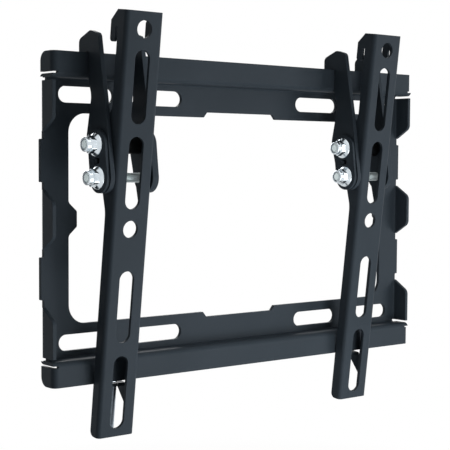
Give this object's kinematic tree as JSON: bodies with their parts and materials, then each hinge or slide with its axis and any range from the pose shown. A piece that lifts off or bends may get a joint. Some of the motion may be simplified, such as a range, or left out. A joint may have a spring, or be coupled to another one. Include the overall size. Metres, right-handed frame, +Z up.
{
  "type": "tilting tv wall mount",
  "caption": "Folded steel wall plate with hooked arms that slide along its top lip and tilt on clamp bolts, for hanging a flat screen on a wall.",
  "frame": {"origin": "centre of the wall slots, on the wall plate's back face", "axes": "+X to the right, +Z up, the wall is at Y = 0 and the mount stands out towards -Y"},
  "size_m": [0.2614, 0.0431, 0.2192],
  "materials": {
    "powder_coat": "fine-textured black powder coat on steel",
    "zinc": "bright zinc plate",
    "nylon": "pale nylon",
    "zinc_screw": "dull zinc plate",
    "black_sleeve": "black steel sleeve"
  },
  "bodies": {
    "wall_plate": {"wall_plate": "powder_coat"},
    "left_hooks": {"left_arm_left_hook_plate": "powder_coat", "left_arm_right_hook_plate": "powder_coat"},
    "left_arm": {"left_arm_channel": "powder_coat", "left_arm_safety_tab": "powder_coat", "left_arm_left_clamp_plate": "powder_coat", "left_arm_right_clamp_plate": "powder_coat", "left_arm_pivot_bolt": "zinc", "left_arm_clamp_bolt": "zinc", "left_arm_pivot_lock_nut": "zinc", "left_arm_clamp_lock_nut": "zinc", "left_arm_pivot_nut_insert": "nylon", "left_arm_clamp_nut_insert": "nylon", "left_arm_spacer_sleeve": "black_sleeve"},
    "left_safety_screw": {"left_arm_safety_screw": "zinc_screw"},
    "right_hooks": {"right_arm_left_hook_plate": "powder_coat", "right_arm_right_hook_plate": "powder_coat"},
    "right_arm": {"right_arm_channel": "powder_coat", "right_arm_safety_tab": "powder_coat", "right_arm_left_clamp_plate": "powder_coat", "right_arm_right_clamp_plate": "powder_coat", "right_arm_pivot_bolt": "zinc", "right_arm_clamp_bolt": "zinc", "right_arm_pivot_lock_nut": "zinc", "right_arm_clamp_lock_nut": "zinc", "right_arm_pivot_nut_insert": "nylon", "right_arm_clamp_nut_insert": "nylon", "right_arm_spacer_sleeve": "black_sleeve"},
    "right_safety_screw": {"right_arm_safety_screw": "zinc_screw"}
  },
  "joints": [
    {"name": "left_rail_slide", "type": "slide", "parent": "wall_plate", "child": "left_hooks", "axis": [1, 0, 0], "range_m": [-0.018, 0.065]},
    {"name": "left_tilt", "type": "hinge", "parent": "left_hooks", "child": "left_arm", "pos_m": [-0.0953, -0.0248, 0.0214], "axis": [-1, 0, 0], "range_deg": [0, 15]},
    {"name": "left_safety_feed", "type": "slide", "parent": "left_arm", "child": "left_safety_screw", "axis": [0, -0.1207, 0.9927], "range_m": [0, 0.007]},
    {"name": "right_rail_slide", "type": "slide", "parent": "wall_plate", "child": "right_hooks", "axis": [1, 0, 0], "range_m": [-0.047, 0.036]},
    {"name": "right_tilt", "type": "hinge", "parent": "right_hooks", "child": "right_arm", "pos_m": [0.077, -0.0248, 0.0214], "axis": [-1, 0, 0], "range_deg": [0, 15]},
    {"name": "right_safety_feed", "type": "slide", "parent": "right_arm", "child": "right_safety_screw", "axis": [0, -0.1207, 0.9927], "range_m": [0, 0.007]}
  ]
}
